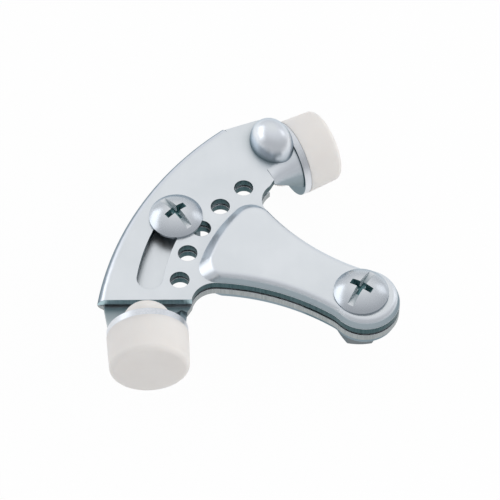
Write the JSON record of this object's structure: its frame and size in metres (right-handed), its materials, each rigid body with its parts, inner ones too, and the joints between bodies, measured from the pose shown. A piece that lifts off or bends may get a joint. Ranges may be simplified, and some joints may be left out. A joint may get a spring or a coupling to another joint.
{
  "type": "hinge pin door stop",
  "caption": "Adjustable hinge pin door stop: fan-shaped steel stampings that swing about a pivot screw, clamped through curved slots, each with a bumper on a folded tab.",
  "frame": {"origin": "on the pivot axis, midway between the plates", "axes": "+Z along the pivot axis to the screw heads, +X along the arms to the fans, +Y across the arms to the lower plate's bumper"},
  "size_m": [0.0766, 0.1058, 0.0346],
  "materials": {
    "zinc_plate": "bright zinc plate over pressed sheet, satin",
    "zinc_fastener": "bright zinc plate, polished",
    "bumper": "matte off-white, faintly translucent"
  },
  "bodies": {
    "lower": {"lower_plate": "zinc_plate", "lower_bumper": "bumper", "pivot_screw": "zinc_fastener", "pivot_nut": "zinc_fastener"},
    "upper": {"upper_plate": "zinc_plate", "upper_bumper": "bumper"},
    "clamp": {"clamp_screw": "zinc_fastener", "clamp_nut": "zinc_fastener"}
  },
  "joints": [
    {"name": "spread", "type": "hinge", "parent": "lower", "child": "upper", "pos_m": [0, 0, 0], "axis": [0, 0, -1], "range_deg": [0, 43]},
    {"name": "clamp_slide", "type": "hinge", "parent": "lower", "child": "clamp", "pos_m": [0, 0, 0], "axis": [0, 0, -1], "range_deg": [0, 21.5]}
  ],
  "couplings": [
    {"joint": "clamp_slide", "follows": "spread", "ratio": 0.5}
  ]
}
